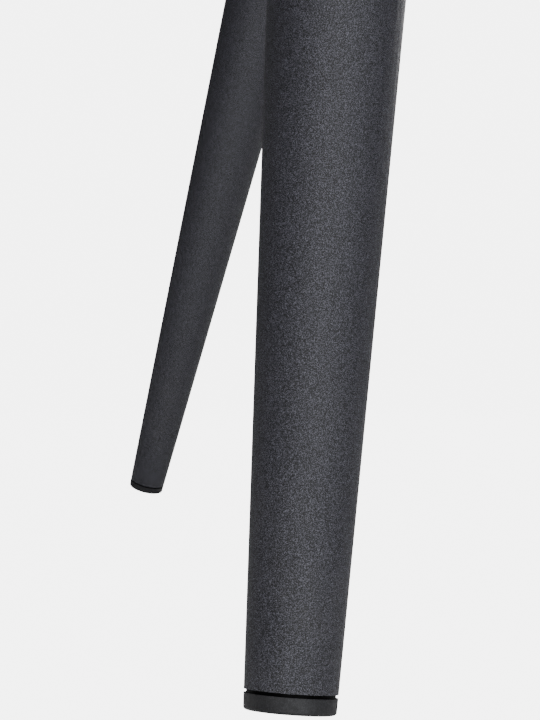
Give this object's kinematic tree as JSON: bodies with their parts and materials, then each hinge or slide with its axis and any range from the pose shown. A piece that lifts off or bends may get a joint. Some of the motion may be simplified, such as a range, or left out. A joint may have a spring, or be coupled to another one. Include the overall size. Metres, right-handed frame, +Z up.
{
  "type": "three-legged swivel seat",
  "caption": "Field seat with a round padded top that swivels on a flat hub, held by splayed conical steel legs on screw-in levelling feet.",
  "frame": {"origin": "on the floor, at the middle of the object's box", "axes": "+Z up, -Y towards the front leg, X across the plane of symmetry"},
  "size_m": [0.4858, 0.4252, 0.5895],
  "materials": {
    "leg_powder_coat": "fine-texture matte powder coat",
    "hub_powder_coat": "fine-texture matte powder coat",
    "bare_steel": "mill finish",
    "pad_plastic": "moulded matte",
    "plug_plastic": "moulded matte",
    "zinc_plate": "zinc plated",
    "brass_nut": "machined",
    "black_oxide": "black oxide",
    "swivel_plate_steel": "galvanised",
    "ball_steel": "polished",
    "cage_plastic": "moulded acetal",
    "bush_plastic": "moulded acetal",
    "board_plywood": "sanded birch plywood",
    "foam": "open-cell foam",
    "cover_canvas": "woven canvas",
    "welt_cord": "woven canvas over cord",
    "dust_cloth_felt": "bonded felt",
    "staple_wire": "galvanised wire"
  },
  "bodies": {
    "base": {"leg_front": "leg_powder_coat", "leg_rear_left": "leg_powder_coat", "leg_rear_right": "leg_powder_coat", "end_plate_front": "bare_steel", "end_plate_rear_left": "bare_steel", "end_plate_rear_right": "bare_steel", "angled_mount_front": "hub_powder_coat", "angled_mount_rear_left": "hub_powder_coat", "angled_mount_rear_right": "hub_powder_coat", "foot_plug_front": "plug_plastic", "foot_plug_rear_left": "plug_plastic", "foot_plug_rear_right": "plug_plastic", "foot_nut_front": "brass_nut", "foot_nut_rear_left": "brass_nut", "foot_nut_rear_right": "brass_nut", "leg_bolt_front": "black_oxide", "leg_bolt_rear_left": "black_oxide", "leg_bolt_rear_right": "black_oxide", "leg_bolt_washers": "zinc_plate", "mount_screws": "black_oxide", "hub_plate": "hub_powder_coat", "swivel_lower_plate": "swivel_plate_steel", "swivel_lower_screws": "black_oxide", "swivel_lower_nuts": "zinc_plate", "kingpin": "black_oxide", "thrust_washer": "zinc_plate", "circlip": "black_oxide"},
    "ball_ring": {"ball_cage": "cage_plastic", "swivel_balls": "ball_steel"},
    "seat": {"swivel_upper_plate": "swivel_plate_steel", "swivel_upper_screws": "black_oxide", "swivel_bush": "bush_plastic", "seat_board": "board_plywood", "tee_nuts": "zinc_plate", "seat_foam": "foam", "cover_band": "cover_canvas", "cover_top": "cover_canvas", "seat_welt": "welt_cord", "dust_cloth": "dust_cloth_felt", "staples": "staple_wire"},
    "levelling_foot_front": {"foot_pad_front": "pad_plastic", "foot_stud_front": "zinc_plate"},
    "levelling_foot_rear_left": {"foot_pad_rear_left": "pad_plastic", "foot_stud_rear_left": "zinc_plate"},
    "levelling_foot_rear_right": {"foot_pad_rear_right": "pad_plastic", "foot_stud_rear_right": "zinc_plate"}
  },
  "joints": [
    {"name": "seat_swivel", "type": "hinge", "parent": "base", "child": "seat", "pos_m": [0, 0.03116, 0], "axis": [0, 0, 1], "continuous": true},
    {"name": "ball_ring_turn", "type": "hinge", "parent": "base", "child": "ball_ring", "pos_m": [0, 0.03116, 0], "axis": [0, 0, 1], "continuous": true},
    {"name": "level_front", "type": "slide", "parent": "base", "child": "levelling_foot_front", "axis": [0, -0.1942, -0.981], "range_m": [0, 0.008]},
    {"name": "level_rear_left", "type": "slide", "parent": "base", "child": "levelling_foot_rear_left", "axis": [-0.308, 0.1152, -0.9444], "range_m": [0, 0.008]},
    {"name": "level_rear_right", "type": "slide", "parent": "base", "child": "levelling_foot_rear_right", "axis": [0.308, 0.1152, -0.9444], "range_m": [0, 0.008]}
  ],
  "couplings": [
    {"joint": "ball_ring_turn", "follows": "seat_swivel", "ratio": 0.5}
  ]
}
